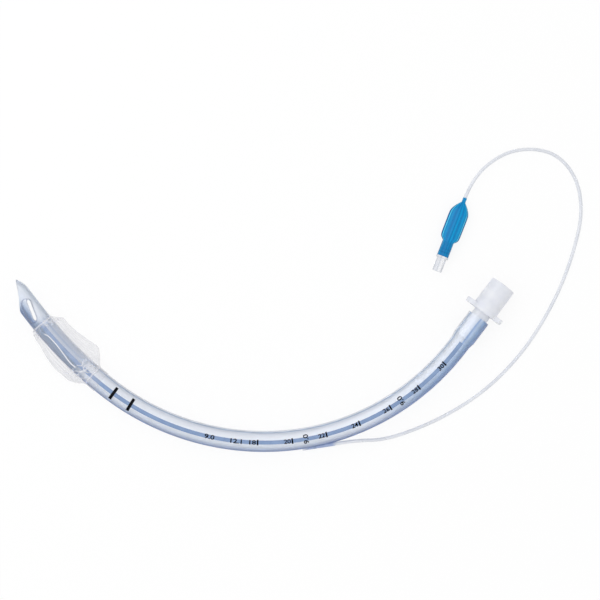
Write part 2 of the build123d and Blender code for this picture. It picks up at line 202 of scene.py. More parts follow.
@dataclass
class Finish:
    """Procedural finish of one material, which its methods add patterns to.

    Attributes:
        name: Material's name.
        colour: Base colour where no pattern changes it.
        roughness: Surface roughness.
        passing: Share of the light that goes through.
        let_through: Share of lamp light that reaches what lies behind.
        ior: Index of refraction.
        specular: Strength of the surface's own reflection.
        soak: Colour that the depth of the wall gives, with its strength per metre.
    """

    name: str
    colour: str
    roughness: float
    passing: float = 0.0
    let_through: float = 0.0
    ior: float = 1.5
    specular: float = 0.5
    soak: tuple[str, float] | None = None

    def __post_init__(self) -> None:
        """Make the material with its shader and output."""
        self.material = bpy.data.materials.new(self.name)
        self.material.use_nodes = True
        self.tree = self.material.node_tree
        self.tree.nodes.clear()
        self.shader = add_node(
            self.tree,
            "ShaderNodeBsdfPrincipled",
            {
                "Base Color": linear(self.colour),
                "Roughness": self.roughness,
                "IOR": self.ior,
                "Transmission Weight": self.passing,
                "Specular IOR Level": self.specular,
            },
        )
        surface = self.shader.outputs[0]
        if self.let_through > 0:
            path = add_node(self.tree, "ShaderNodeLightPath").outputs
            share = calc(self.tree, "MULTIPLY", path["Is Shadow Ray"], self.let_through)
            clear = self.add("ShaderNodeBsdfTransparent", {"Color": linear("#FFFFFF")})
            surface = self.add("ShaderNodeMixShader", {0: share, 1: surface, 2: clear})
        output = add_node(self.tree, "ShaderNodeOutputMaterial", {"Surface": surface})
        if self.soak:
            code, strength = self.soak
            depth = self.add("ShaderNodeVolumeAbsorption", {"Color": linear(code), "Density": strength})
            plug(self.tree, output.inputs["Volume"], depth)

    @cached_property
    def place(self) -> Socket:
        """Coordinates in metres."""
        return add_node(self.tree, "ShaderNodeTexCoord").outputs["Object"]

    @cached_property
    def axis_map(self) -> Socket:
        """The piece's own UV map: metres along its axis and turns round it."""
        return self.add("ShaderNodeUVMap", uv_map="axis")

    def add(self, kind: str, sockets: dict[Any, Any] | None = None, **settings: Any) -> Socket:
        """Add one node, as add_node does, and give its first output."""
        return add_node(self.tree, kind, sockets, **settings).outputs[0]

    def give(self, name: str, value: Any) -> None:
        """Give the shader's input a value or a pattern."""
        plug(self.tree, self.shader.inputs[name], value)

    def split(self, vector: Socket) -> tuple[Socket, Socket]:
        """Take a vector's first two parts."""
        parts = add_node(self.tree, "ShaderNodeSeparateXYZ", {0: vector}).outputs
        return parts[0], parts[1]

    def grain(
        self,
        size: float,
        detail: float = 2.0,
        vector: Socket | None = None,
        stretch: tuple[float, float, float] | None = None,
    ) -> Socket:
        """Add a noise with features of a real size.

        Args:
            size: Size of the features.
            detail: Number of finer layers.
            vector: Coordinates in metres, other than the piece's place.
            stretch: Scale of each coordinate before the noise.

        Returns:
            The noise's factor.
        """
        vector = vector or self.place
        if stretch:
            vector = self.add("ShaderNodeMapping", {"Vector": vector, "Scale": stretch})
        return self.add("ShaderNodeTexNoise", {"Vector": vector, "Scale": 1 / (size * MM), "Detail": detail})

    def remap(self, value: Socket, span: tuple[float, float], low: float, high: float, **settings: Any) -> Socket:
        """Map a span of a value to the range from low to high."""
        return self.add("ShaderNodeMapRange", {0: value, 1: span[0], 2: span[1], 3: low, 4: high}, **settings)

    def spread(self, value: Socket, low: float, high: float) -> Socket:
        """Map a noise, which lies round 0.3 to 0.7, to the range from low to high."""
        return self.remap(value, (0.3, 0.7), low, high)

    def fade(self, length: Socket, start: float, full: float, low: float = 0.0, high: float = 1.0) -> Socket:
        """Pass smoothly from low to high between two lengths in millimetres."""
        return self.remap(length, (start * MM, full * MM), low, high, interpolation_type="SMOOTHSTEP")

    def mix(self, share: Socket, low: str | Socket, high: str | Socket) -> Socket:
        """Mix two colours, each a hex code or a socket."""
        low, high = (linear(colour) if isinstance(colour, str) else colour for colour in (low, high))
        return add_node(self.tree, "ShaderNodeMix", {0: share, 6: low, 7: high}, data_type="RGBA").outputs[2]

    def ramp(self, factor: Socket, stops: Stops) -> Socket:
        """Add a colour ramp.

        Args:
            factor: Where to read the ramp.
            stops: Position from 0 to 1 and sRGB hex colour of each stop, in order.

        Returns:
            The colour.
        """
        node = add_node(self.tree, "ShaderNodeValToRGB", {0: factor})
        elements = node.color_ramp.elements
        while len(elements) > 1:
            elements.remove(elements[-1])
        elements[0].position, elements[0].color = stops[0][0], linear(stops[0][1])
        for place, code in stops[1:]:
            elements.new(place).color = linear(code)
        return node.outputs[0]

    def dent(self, height: Socket, depth: float, strength: float) -> None:
        """Give the shader the relief of a height pattern, of a real depth.

        Args:
            height: Height pattern from 0 to 1.
            depth: Depth of the relief.
            strength: Share of the relief that is used.
        """
        relief = {"Height": height, "Distance": depth * MM, "Strength": strength}
        self.give("Normal", self.add("ShaderNodeBump", relief))


@dataclass(frozen=True)
class EyeSlot:
    """Slanted slot through both walls, which cuts the two side eyes.

    Attributes:
        from_tip: Distance of its middle from the tip.
        turned: Degrees that it is turned round the tube.
        slant: Degrees that it slants to the tube.
        half_straight: Half the length of its straight sides.
        wall: Radius of the wall.
        rim: Distance from its middle line at which the cut edge starts, and ends.
    """

    from_tip: float = 21.05
    turned: float = 9.0
    slant: float = -15.0
    half_straight: float = 4.5
    wall: float = 6.05
    rim: tuple[float, float] = (2.75, 3.35)

    def edge(self, finish: Finish) -> Socket:
        """Add the share of the cut edge, which is painted darker as shade, to the wall's finish.

        Args:
            finish: Finish of the wall.

        Returns:
            Factor that is 1 at the slot's rim and fades to 0 outside it.
        """
        tree = finish.tree
        along, turns = finish.split(finish.axis_map)
        angle = calc(tree, "MULTIPLY_ADD", turns, FULL_TURN, math.radians(self.turned))
        lateral = calc(tree, "MULTIPLY", calc(tree, "SINE", angle), self.wall * MM)
        spot = finish.add("ShaderNodeCombineXYZ", {0: along, 1: lateral})
        middle, slant = (self.from_tip * MM, 0.0, 0.0), (0.0, 0.0, math.radians(self.slant))
        sockets = {"Vector": spot, "Location": middle, "Rotation": slant}
        lengthwise, across = finish.split(finish.add("ShaderNodeMapping", sockets, vector_type="TEXTURE"))
        beyond = calc(tree, "SUBTRACT", calc(tree, "ABSOLUTE", lengthwise), self.half_straight * MM, clamp=True)
        offset = finish.add("ShaderNodeCombineXYZ", {0: beyond, 1: across})
        distance = add_node(tree, "ShaderNodeVectorMath", {0: offset}, operation="LENGTH").outputs["Value"]
        return finish.remap(distance, (self.rim[0] * MM, self.rim[1] * MM), 1.0, 0.0)


# Colours of the clear wall by turns round the tube: its lavender tint with painted light, a painted shade that
# darkens the sides to deep blue at the outer side, and painted highlight bands on top. Each starts at one place in
# millimetres and is full at the next.
WALL_TINT_AND_PAINTED_LIGHT = (
    (
        (0.0, 0.0),
        (
            (0.0, "#D9E0EA"), (0.05, "#E4E9F1"), (0.10, "#EDF1F6"), (0.20, "#D3DCE8"), (0.25, "#BAC7DA"),
            (0.30, "#E6EBF2"), (0.50, "#EFF2F7"), (0.62, "#9FB5D2"), (0.70, "#3C6AA8"), (0.76, "#1F4B88"),
            (0.80, "#2E5B9A"), (0.84, "#5880B4"), (0.875, "#90AACD"), (0.92, "#C0CEE0"), (1.0, "#DDE3EC"),
        ),
    ),
    (
        (27.0, 33.0),
        (
            (0.0, "#C8D2E2"), (0.03, "#DDE3ED"), (0.07, "#D3DCE8"), (0.09, "#AABCD6"), (0.12, "#DDE4EE"),
            (0.165, "#C3CFDF"), (0.25, "#E2E7F0"), (0.50, "#E3E8F0"), (0.65, "#90A7CC"), (0.75, "#5A7CAE"),
            (0.80, "#4E71A4"), (0.83, "#3F659E"), (0.86, "#7C9BB8"), (0.90, "#8CA8C4"), (0.95, "#7C9AB8"),
            (0.972, "#7A98B6"), (0.98, "#D5DCE6"), (1.0, "#C8D2E2"),
        ),
    ),
    (
        (60.0, 70.0),
        (
            (0.0, "#EEF2F8"), (0.04, "#F6F9FC"), (0.09, "#F8F9FC"), (0.115, "#F4F7FA"), (0.15, "#EEF2F7"),
            (0.163, "#93A9C8"), (0.180, "#93A9C8"), (0.195, "#F1F4F9"), (0.25, "#E6EBF3"), (0.35, "#F1F4F9"),
            (0.50, "#F8F9FC"), (0.65, "#D5DFEC"), (0.75, "#2862B0"), (0.80, "#336CBA"), (0.832, "#588AC9"),
            (0.846, "#B7CBE6"), (0.862, "#DDE7F3"), (0.885, "#E9EFF7"), (0.911, "#F6F9FC"), (0.935, "#F6F9FC"),
            (0.963, "#F3F6FA"), (1.0, "#EEF2F8"),
        ),
    ),
    (
        (235.0, 290.0),
        (
            (0.0, "#E6ECF5"), (0.05, "#EDF2F8"), (0.09, "#F2F5FA"), (0.13, "#F6F9FC"), (0.15, "#F4F7FA"),
            (0.163, "#A6BCD6"), (0.18, "#A6BCD6"), (0.195, "#F1F5F9"), (0.25, "#EAEFF6"), (0.50, "#F1F4F9"),
            (0.65, "#A9BCD6"), (0.745, "#1D58AA"), (0.79, "#376FBE"), (0.82, "#6A95CF"), (0.86, "#8CAED4"),
            (0.90, "#9ABBDC"), (0.94, "#BFD4EA"), (0.965, "#C6D7EC"), (0.98, "#82A7D2"), (0.992, "#A9C3E2"),
            (1.0, "#E6ECF5"),
        ),
    ),
)


def extruded_vinyl() -> Material:
    """Clear flexible PVC, extruded: a lavender tint, painted shade that deepens it at the sides, painted highlight
    bands, faint die lines, soft gloss.

    Returns:
        Material for the airway tube, on its own UV map.
    """
    finish = Finish("extruded_clear_vinyl", "#EDF0F7", 0.32, 0.7, 0.96, soak=("#B4C3E0", 30.0))
    along, turns = finish.split(finish.axis_map)
    # Painted light: the ramps by turns round the tube paint shade at the sides and highlight bands on top of the
    # tint
    tint_and_painted_light = finish.ramp(turns, WALL_TINT_AND_PAINTED_LIGHT[0][1])
    for (start, full), stops in WALL_TINT_AND_PAINTED_LIGHT[1:]:
        tint_and_painted_light = finish.mix(finish.fade(along, start, full), tint_and_painted_light, finish.ramp(turns, stops))
    # Painted shade: the cut edges of the side eyes are painted darker than the wall
    cut = calc(finish.tree, "MULTIPLY", EyeSlot().edge(finish), 0.75)
    tint_and_painted_light = finish.mix(cut, tint_and_painted_light, "#43598C")
    # Die lines: 0.5 mm apart round the tube and many centimetres long
    lines = finish.grain(0.5, 3.0, finish.axis_map, (0.02, 0.038, 1.0))
    finish.give("Base Color", finish.mix(finish.spread(lines, 0.0, 0.3), tint_and_painted_light, "#F7F8FC"))
    finish.give("Roughness", finish.spread(lines, 0.28, 0.38))
    finish.dent(lines, 0.04, 0.15)
    return finish.material


def filled_vinyl() -> Material:
    """PVC filled with a heavy white and blue pigment, co-extruded: an even, slightly chalky grey blue.

    Returns:
        Material for the radiopaque stripe.
    """
    finish = Finish("filled_blue_vinyl", "#8291B6", 0.4, ior=1.52, specular=0.3)
    # Pigment clouds a few millimetres long, and 0.3 mm grains of filler
    clouds, grains = finish.grain(6.0), finish.grain(0.3, 1.0)
    base = finish.mix(finish.spread(clouds, 0.0, 1.0), "#7088AF", "#8199BE")
    finish.give("Base Color", finish.mix(finish.spread(grains, 0.0, 0.3), base, "#9FB2CF"))
    finish.dent(grains, 0.03, 0.3)
    return finish.material


def pad_print() -> Material:
    """Black pad-printed ink: dull, a little thin at places where the pad lifted.

    Returns:
        Material for the marks and numbers.
    """
    finish = Finish("black_pad_print", "#060608", 0.6, specular=0.05)
    lift = finish.grain(0.7, 3.0)
    finish.give("Base Color", finish.mix(finish.spread(lift, 0.0, 1.0), "#050507", "#15161B"))
    finish.give("Roughness", finish.spread(lift, 0.52, 0.68))
    return finish.material


def thin_film() -> Material:
    """Blown polyurethane film of a tenth of a millimetre: clear with a faint haze, and painted milky white as a
    highlight along its folds and puckers.

    Returns:
        Material for the cuff, on its own UV map and its attribute "milk" (0 clear, 1 milky or painted highlight).
    """
    finish = Finish("blown_clear_film", "#EDEEF2", 0.3, let_through=0.85, specular=0.4)
    haze_and_painted_highlight = add_node(finish.tree, "ShaderNodeAttribute", attribute_name="haze_and_painted_highlight").outputs["Fac"]
    # Drawn lines 1.2 mm apart run along the film, and clouds of 6 mm vary its haze
    lines = finish.grain(1.2, 1.0, finish.axis_map, (0.06, 0.06, 1.0))
    clouds = finish.grain(6.0)
    haze = calc(finish.tree, "ADD", finish.spread(lines, 0.0, 0.05), finish.spread(clouds, 0.08, 0.12))
    # The attribute carries the film's haze and a painted highlight on its folds, creases and side edges, which
    # whitens and thickens it there
    finish.give("Alpha", calc(finish.tree, "MULTIPLY_ADD", haze_and_painted_highlight, 0.85, haze, clamp=True))
    finish.give("Base Color", finish.mix(haze_and_painted_highlight, "#E4E4E9", "#FCFCFD"))
    finish.give("Roughness", finish.spread(lines, 0.24, 0.38))
    finish.dent(clouds, 0.3, 0.2)
    return finish.material


def moulded_polypropylene() -> Material:
    """Natural polypropylene, injection moulded: milky white, light soaks in, satin with a faint flow mark.

    Returns:
        Material for the 15 mm connector.
    """
    finish = Finish("natural_polypropylene", "#F3F4F8", 0.42, 0.16, 0.45, 1.49, 0.35)
    finish.give("Subsurface Weight", 0.3)
    finish.give("Subsurface Radius", (0.004, 0.004, 0.0045))
    finish.give("Subsurface Scale", 1.0)
    # Flow clouds of 7 mm in the milky base, and spark-eroded mould grain of 0.25 mm
    clouds, mould = finish.grain(7.0, 3.0), finish.grain(0.25, 1.0)
    finish.give("Base Color", finish.mix(finish.spread(clouds, 0.0, 1.0), "#E4E7F0", "#F0F2F8"))
    finish.give("Roughness", finish.spread(mould, 0.38, 0.5))
    finish.dent(mould, 0.02, 0.4)
    return finish.material


def small_bore_vinyl() -> Material:
    """Clear PVC of the small inflation line: pale grey, glossy, with slight waves from the reel.

    Returns:
        Material for the line and its bonded end.
    """
    finish = Finish("small_bore_clear_vinyl", "#E8EAF0", 0.32, 0.2, 0.8)
    waves = finish.grain(14.0)
    base = finish.mix(finish.spread(waves, 0.0, 1.0), "#E0E3EA", "#EAECF1")
    # Solvent stains the bonded end, and the tube's blue edge is painted on it as if seen through it
    bond = Vector((32.0, -46.2, 6.0)) * MM
    away = add_node(finish.tree, "ShaderNodeVectorMath", {0: finish.place, 1: bond}, operation="DISTANCE")
    bonded = finish.fade(away.outputs["Value"], 6.5, 10.5, 0.85, 0.0)
    finish.give("Base Color", finish.mix(bonded, base, "#8EA4CE"))
    finish.give("Roughness", finish.spread(waves, 0.24, 0.32))
    return finish.material


# Colours of the pilot balloon by turns round it: its blue with painted light and dark fold streaks, dark welded
# edges at the sides as painted shade, and a painted highlight line inside each
BULB_TINT_AND_PAINTED_LIGHT = (
    (0.0, "#0078B8"), (0.03, "#009AD8"), (0.07, "#007ABC"), (0.12, "#00A0DC"), (0.150, "#0084C4"),
    (0.160, "#62E0FF"), (0.172, "#62E0FF"), (0.188, "#0062A4"), (0.21, "#00488A"), (0.29, "#00488A"),
    (0.312, "#0062A4"), (0.328, "#62E0FF"), (0.34, "#62E0FF"), (0.35, "#0086C6"), (0.50, "#0092D0"),
    (0.65, "#0086C6"), (0.66, "#62E0FF"), (0.672, "#62E0FF"), (0.688, "#0062A4"), (0.71, "#00488A"),
    (0.79, "#00488A"), (0.812, "#0062A4"), (0.828, "#62E0FF"), (0.84, "#62E0FF"), (0.85, "#008ACA"),
    (0.89, "#00ACE6"), (0.93, "#0080C2"), (0.965, "#00B0EA"), (1.0, "#0078B8"),
)
# Shares of the grip rings along the balloon's sleeve
GRIP_RINGS = (
    (0.0, "#404040"), (0.06, "#000000"), (0.50, "#000000"), (0.54, "#909090"), (0.58, "#000000"),
    (0.70, "#000000"), (0.74, "#B0B0B0"), (0.79, "#000000"), (0.95, "#000000"), (1.0, "#606060"),
)
# Greys of the valve body by turns round it: painted shade darker at its sides, and a painted highlight band
VALVE_GREYS_AND_PAINTED_LIGHT = (
    (0.0, "#EEF0F4"), (0.035, "#C2C7D0"), (0.06, "#D9DCE3"), (0.14, "#E6E8EE"), (0.20, "#C0C6D1"),
    (0.25, "#AEB5C4"), (0.32, "#D5D9E1"), (0.50, "#E6E8EE"), (0.68, "#D5D9E1"), (0.75, "#B4BBC8"),
    (0.80, "#C6CBD5"), (0.86, "#DDE0E6"), (0.90, "#F8F9FB"), (0.96, "#FBFBFD"), (1.0, "#EEF0F4"),
)


def tinted_vinyl() -> Material:
    """Blue-tinted PVC, dip moulded: vivid blue, painted shade in the folds and at the welded edge, and a painted
    highlight line inside it.

    Returns:
        Material for the pilot balloon, on its own UV map.
    """
    finish = Finish("blue_tinted_vinyl", "#0092DC", 0.34, 0.16, 0.5, specular=0.1)
    # Painted shade and highlight: the bands by turns round the balloon darken its sides and light a line inside each
    along, turns = finish.split(finish.axis_map)
    # The sleeve on the valve is darker, with rings where it grips
    colour = finish.mix(finish.fade(along, 26.6, 28.2, 0.0, 0.55), finish.ramp(turns, BULB_TINT_AND_PAINTED_LIGHT), "#0074B0")
    sleeve = finish.remap(along, (27.0 * MM, 36.2 * MM), 0.0, 1.0)
    colour = finish.mix(finish.ramp(sleeve, GRIP_RINGS), colour, "#003A78")
    streaks = finish.grain(0.7, 3.0, finish.axis_map, (0.25, 0.03, 1.0))
    finish.give("Base Color", finish.mix(finish.spread(streaks, 0.0, 0.3), colour, "#006EAE"))
    finish.give("Roughness", finish.spread(streaks, 0.26, 0.38))
    finish.dent(streaks, 0.08, 0.3)
    return finish.material


def clear_moulding() -> Material:
    """Clear MABS, injection moulded: pale grey, with painted shade at its sides and a painted highlight band by
    turns round it, and soft lengthwise sinks.

    Returns:
        Material for the valve body, on its own UV map.
    """
    finish = Finish("clear_moulded_mabs", "#E6E8EE", 0.3, 0.18, 0.8, specular=0.4)
    sinks = finish.grain(3.0)
    # Painted shade and highlight: greys by turns round the body darken its sides and light one band
    greys_and_painted_light = finish.ramp(finish.split(finish.axis_map)[1], VALVE_GREYS_AND_PAINTED_LIGHT)
    finish.give("Base Color", finish.mix(finish.spread(sinks, 0.0, 0.35), greys_and_painted_light, "#F4F5F8"))
    finish.give("Roughness", finish.spread(sinks, 0.22, 0.34))
    return finish.material


def moulded_acetal() -> Material:
    """Natural acetal, injection moulded: opaque white, slick, with a very fine mould grain.

    Returns:
        Material for the valve's poppet and retainer.
    """
    finish = Finish("natural_acetal", "#EDEDE8", 0.34, ior=1.48)
    mould = finish.grain(0.2, 1.0)
    finish.give("Base Color", finish.mix(finish.spread(mould, 0.0, 1.0), "#E4E4DE", "#F1F1ED"))
    finish.dent(mould, 0.01, 0.4)
    return finish.material


def moulded_rubber() -> Material:
    """Black nitrile rubber, compression moulded: matt with a faint bloom.

    Returns:
        Material for the valve's seal.
    """
    finish = Finish("black_nitrile_rubber", "#17181A", 0.72, ior=1.52)
    bloom = finish.grain(0.5)
    finish.give("Base Color", finish.mix(finish.spread(bloom, 0.0, 1.0), "#131416", "#2B2C2F"))
    finish.dent(bloom, 0.02, 0.5)
    return finish.material


def drawn_steel() -> Material:
    """Drawn stainless steel wire: bright with fine drawing lines.

    Returns:
        Material for the valve's spring.
    """
    finish = Finish("drawn_stainless_wire", "#B9BBBE", 0.28)
    finish.give("Metallic", 1.0)
    lines = finish.grain(0.08)
    finish.give("Roughness", finish.spread(lines, 0.2, 0.4))
    finish.give("Base Color", finish.mix(finish.spread(lines, 0.0, 1.0), "#A9ABAE", "#CDCED0"))
    return finish.material


@dataclass(frozen=True)
class Bend:
    """One stretch of the tube's axis.

    Attributes:
        length: Length of the stretch.
        turn: Degrees that it turns to the left over that length.
    """

    length: float
    turn: float = 0.0

    @classmethod
    def arc(cls, radius: float, turn: float) -> "Bend":
        """Bend on a radius, by degrees to the left."""
        return cls(radius * math.radians(abs(turn)), turn)


@dataclass(frozen=True)
class AxisPoint:
    """Point of the axis with its directions.

    Attributes:
        origin: Point, in millimetres.
        up: Direction away from the table, across the tube.
        inner: Direction to the inner side of the curve.
        ahead: Direction to the patient.
    """

    origin: Vector
    up: Vector
    inner: Vector
    ahead: Vector

    def ring(self, turns: float, radius: float) -> Vector:
        """Point on a ring of a radius round the axis, in millimetres."""
        angle = FULL_TURN * turns
        return self.origin + (self.up * math.cos(angle) + self.inner * math.sin(angle)) * radius


@dataclass
class TubeAxis:
    """Axis of the airway tube, laid in a plane that leans on the connector's flange."""

    outside: float = 12.1
    flange: float = 15.6
    low_point_y: float = -43.9
    neck_and_half_flange: float = 5.2
    machine_radius: float = 140.0
    machine_sweep: float = 53.1
    machine_run: float = 19.5
    hook_radius: float = 9.0
    hook_reach: float = 37.5
    # From the lowest point of the curve to the tip; the last stretch is the hook
    patient: tuple[Bend, ...] = (Bend.arc(147.0, -39.3), Bend.arc(248.0, -13.0), Bend(14.4), Bend.arc(9.0, 48.0))

    def __post_init__(self) -> None:
        """Work out the lean, the reach of the tip and the plane's directions."""
        self.tube_r = self.outside / 2
        self.machine = (Bend.arc(self.machine_radius, self.machine_sweep), Bend(self.machine_run))
        sweep = math.radians(self.machine_sweep)
        rise = self.machine_radius * (1 - math.cos(sweep))
        rise += (self.machine_run + self.neck_and_half_flange) * math.sin(sweep)
        lean = math.asin((self.flange / 2 - self.tube_r) / rise)
        self.up = Vector((0, -math.sin(lean), math.cos(lean)))
        self.across = Vector((0, math.cos(lean), math.sin(lean)))
        self.low = Vector((0, self.low_point_y, self.tube_r * math.cos(lean)))
        hook = math.radians(self.hook_reach) * (self.hook_radius + self.tube_r)
        self.tip_to_low = sum(bend.length for bend in self.patient[:-1]) + hook
        self.reach = self.tip_to_low + sum(bend.length for bend in self.machine)

    def at(self, from_tip: float) -> AxisPoint:
        """Find the axis at a distance from the tip.

        Args:
            from_tip: Distance from the tip along the axis.

        Returns:
            The point with its directions.
        """
        past_low = from_tip - self.tip_to_low
        bends, heading = (self.machine, 0.0) if past_low >= 0 else (self.patient, math.pi)
        left, x, y = abs(past_low), 0.0, 0.0
        for bend in bends:
            step = left if bend is bends[-1] else min(left, bend.length)
            turn = math.radians(bend.turn) * step / bend.length
            if abs(turn) < 1e-9:
                x += step * math.cos(heading)
                y += step * math.sin(heading)
            else:
                radius = step / turn
                x += radius * (math.sin(heading + turn) - math.sin(heading))
                y += radius * (math.cos(heading) - math.cos(heading + turn))
            heading += turn
            left -= step
            if left <= 0:
                break
        sign = -1 if past_low >= 0 else 1
        ahead = (Vector((math.cos(heading), 0, 0)) + self.across * math.sin(heading)) * sign
        origin = self.low + Vector((x, 0, 0)) + self.across * y
        return AxisPoint(origin, self.up, ahead.cross(self.up), ahead)

    def locate(self, points: np.ndarray) -> tuple[np.ndarray, np.ndarray]:
        """Find where points lie along and round the axis.

        Args:
            points: Points in millimetres, one per row.

        Returns:
            Distance of each from the tip, and its turns from the top to the inner side, from 0 to 1.
        """
        # Every half millimetre, from a little past the tip to a little past the machine end
        places = np.arange(-2.0, self.reach + 3.0, 0.5)
        spots = [self.at(float(place)) for place in places]
        origins = np.array([spot.origin for spot in spots])
        inners = np.array([spot.inner for spot in spots])
        aheads = np.array([spot.ahead for spot in spots])
        up = np.array(self.up)
        flat = points - np.outer((points - origins[0]) @ up, up)
        nearest = np.array([int(np.argmin(((origins - p) ** 2).sum(1))) for p in flat])
        off = points - origins[nearest]
        along = places[nearest] - (off * aheads[nearest]).sum(1)
        turns = np.arctan2((off * inners[nearest]).sum(1), off @ up) / FULL_TURN
        return along, np.mod(turns, 1.0)


def placed(name: str, data: bpy.types.ID) -> Thing:
    """Put a new object of some data in the scene.

    Args:
        name: Name of the object.
        data: Its mesh, curve, lamp or camera.

    Returns:
        The object.
    """
    thing = bpy.data.objects.new(name, data)
    bpy.context.scene.collection.objects.link(thing)
    return thing


def shown_mesh(thing: Thing) -> Mesh:
    """Copy what an object shows now, modifiers and all, as a plain mesh."""
    return bpy.data.meshes.new_from_object(thing.evaluated_get(bpy.context.evaluated_depsgraph_get()))


@contextmanager
def workbench(source: Mesh, target: Mesh) -> Iterator[bmesh.types.BMesh]:
    """Open a mesh for editing and write the result to a mesh, which may be the same.

    Args:
        source: Mesh to read.
        target: Mesh that gets the result.

    Yields:
        The open mesh.
    """
    work = bmesh.new()
    work.from_mesh(source)
    yield work
    work.to_mesh(target)
    work.free()


def vertex_places(mesh: Mesh) -> np.ndarray:
    """Places of a mesh's vertices in millimetres, one per row.

    Args:
        mesh: Mesh in metres.

    Returns:
        The places.
    """
    points = np.zeros(len(mesh.vertices) * 3)
    mesh.vertices.foreach_get("co", points)
    return points.reshape(-1, 3) / MM


def piece_from(name: str, mesh: Mesh, finish: Material, body: Body = Body.AIRWAY) -> Thing:
    """Put a mesh in the scene as a dressed piece that rides on its body.

    Args:
        name: Name of the piece.
        mesh: Its mesh, in metres, in place.
        finish: Its material.
        body: Body that carries it.

    Returns:
        The object.
    """
    mesh.name = name
    mesh.materials.clear()
    mesh.materials.append(finish)
    thing = placed(name, mesh)
    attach(thing, body.value)
    return thing


def soften_shading(work: bmesh.types.BMesh, degrees: float) -> None:
    """Shade smooth across edges below an angle and keep the steeper ones sharp.

    Args:
        work: Open mesh to shade.
        degrees: Angle from which an edge stays sharp.
    """
    limit = math.radians(degrees)
    for face in work.faces:
        face.smooth = True
    for edge in work.edges:
        edge.smooth = edge.is_manifold and edge.calc_face_angle(0.0) < limit


def merged_copy(node: Thing) -> Mesh:
    """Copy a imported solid's mesh with its triangles joined and shaded smooth.

    Args:
        node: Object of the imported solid.

    Returns:
        The new mesh.
    """
    mesh = bpy.data.meshes.new(node.name + "_copy")
    with workbench(node.data, mesh) as work:
        for layer in list(work.loops.layers.uv):
            work.loops.layers.uv.remove(layer)
        bmesh.ops.remove_doubles(work, verts=work.verts, dist=0.002 * MM)
        soften_shading(work, 28.0)
    return mesh


def write_axis_map(mesh: Mesh, along: np.ndarray, turns: np.ndarray) -> None:
    """Write a UV map of metres along and turns round an axis, unbroken across each face.

    Args:
        mesh: Mesh that gets the map.
        along: Millimetres along the axis, one per vertex.
        turns: Turns round the axis from 0 to 1, one per vertex.
    """
    layer = mesh.uv_layers.new(name="axis")
    corners = np.zeros(len(mesh.loops), int)
    mesh.loops.foreach_get("vertex_index", corners)
    values = np.stack([along[corners] * MM, turns[corners]], 1)
    for polygon in mesh.polygons:
        loops = slice(polygon.loop_start, polygon.loop_start + polygon.loop_total)
        around = values[loops, 1]
        if around.max() - around.min() > 0.5:
            values[loops, 1] = np.where(around < 0.5, around + 1.0, around)
            if values[loops, 1].mean() > 1.0:
                values[loops, 1] -= 1.0
    layer.data.foreach_set("uv", values.astype(np.float32).ravel())


def modified(mesh: Mesh, kind: str, **settings: Any) -> Mesh:
    """Run one modifier on a mesh.

    Args:
        mesh: Mesh to work on.
        kind: Blender's name for the modifier's type.
        **settings: The modifier's settings.

    Returns:
        The result as a plain mesh.
    """
    holder = placed("holder", mesh)
    modifier = holder.modifiers.new(kind.lower(), kind)
    for key, value in settings.items():
        setattr(modifier, key, value)
    result = shown_mesh(holder)
    bpy.data.objects.remove(holder)
    return result


def film_skin(name: str, rings: Sequence[Sequence[Vector]], along: Sequence[float]) -> Mesh:
    """Skin a row of closed rings, open at both ends, faces outwards.

    Args:
        name: Name of the mesh.
        rings: Points of each ring in millimetres, the same number in each.
        along: Distance of each ring along its axis.

    Returns:
        The mesh in metres, with the axis map.
    """
    count = len(rings[0])
    faces = []
    for row in range(len(rings) - 1):
        low, high = row * count, (row + 1) * count
        for column in range(count):
            following = (column + 1) % count
            faces.append((low + column, low + following, high + following, high + column))
    mesh = bpy.data.meshes.new(name)
    mesh.from_pydata([tuple(p * MM) for ring in rings for p in ring], [], faces)
    write_axis_map(mesh, np.repeat(np.array(along), count), np.tile(np.arange(count) / count, len(rings)))
    with workbench(mesh, mesh) as work:
        bmesh.ops.recalc_face_normals(work, faces=work.faces)
        soften_shading(work, 40.0)
    return mesh


def drawn_by_rule(
    holder: Thing,
    finish: Material,
    sizes: dict[str, float],
    draw: Callable[[Tree, Any], Socket],
) -> Mesh:
    """Draw a shape with Geometry Nodes and take it as a plain mesh.

    Args:
        holder: Object that the rule runs on. It is removed.
        finish: Material of the shape.
        sizes: The rule's inputs by name, lengths in metres.
        draw: Adds the rule's nodes to a tree with the group's inputs, and gives the geometry.

    Returns:
        The mesh.
    """
    tree = bpy.data.node_groups.new(holder.name, "GeometryNodeTree")
    tree.interface.new_socket("Shape", in_out="INPUT", socket_type="NodeSocketGeometry")
    keys = {
        label: tree.interface.new_socket(label, in_out="INPUT", socket_type="NodeSocketFloat").identifier
        for label in sizes
    }
    tree.interface.new_socket("Result", in_out="OUTPUT", socket_type="NodeSocketGeometry")
    drawn = draw(tree, add_node(tree, "NodeGroupInput").outputs)
    real = add_node(tree, "GeometryNodeRealizeInstances", {0: drawn})
    dressed = add_node(tree, "GeometryNodeSetMaterial", {0: real.outputs[0], "Material": finish})
    add_node(tree, "NodeGroupOutput", {0: dressed.outputs[0]})
    modifier = holder.modifiers.new("rule", "NODES")
    modifier.node_group = tree
    for label, size in sizes.items():
        modifier[keys[label]] = size
    mesh = shown_mesh(holder)
    bpy.data.objects.remove(holder)
    return mesh


